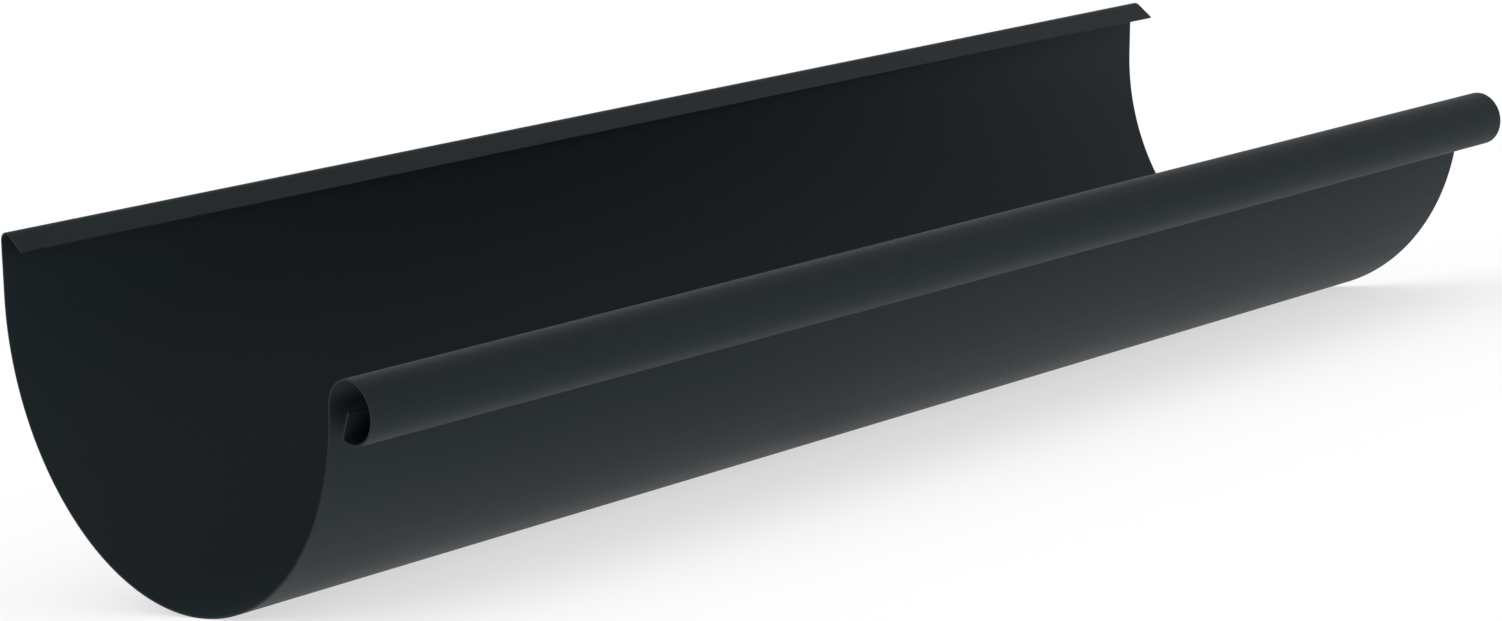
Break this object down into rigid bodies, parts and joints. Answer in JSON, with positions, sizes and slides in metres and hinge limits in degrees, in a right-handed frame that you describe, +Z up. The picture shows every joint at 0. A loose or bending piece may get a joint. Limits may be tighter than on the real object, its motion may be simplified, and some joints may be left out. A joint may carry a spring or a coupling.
{
  "type": "half-round gutter section",
  "caption": "Length of half-round eaves gutter in dark coated steel sheet, with a rolled front bead and a folded back lip; carries rainwater off a roof.",
  "frame": {"origin": "on the axis of the half-round trough, at mid-length", "axes": "+X along the gutter, +Z up, -Y towards the front edge with the bead; the section is rolled 11.93 degrees about +X, bead side down, as the loose length lies on a level floor"},
  "size_m": [0.495, 0.1668, 0.1098],
  "materials": {
    "coated_steel": "fine-grained matt anthracite coating"
  },
  "bodies": {
    "root": {"gutter_section": "coated_steel"}
  },
  "joints": []
}
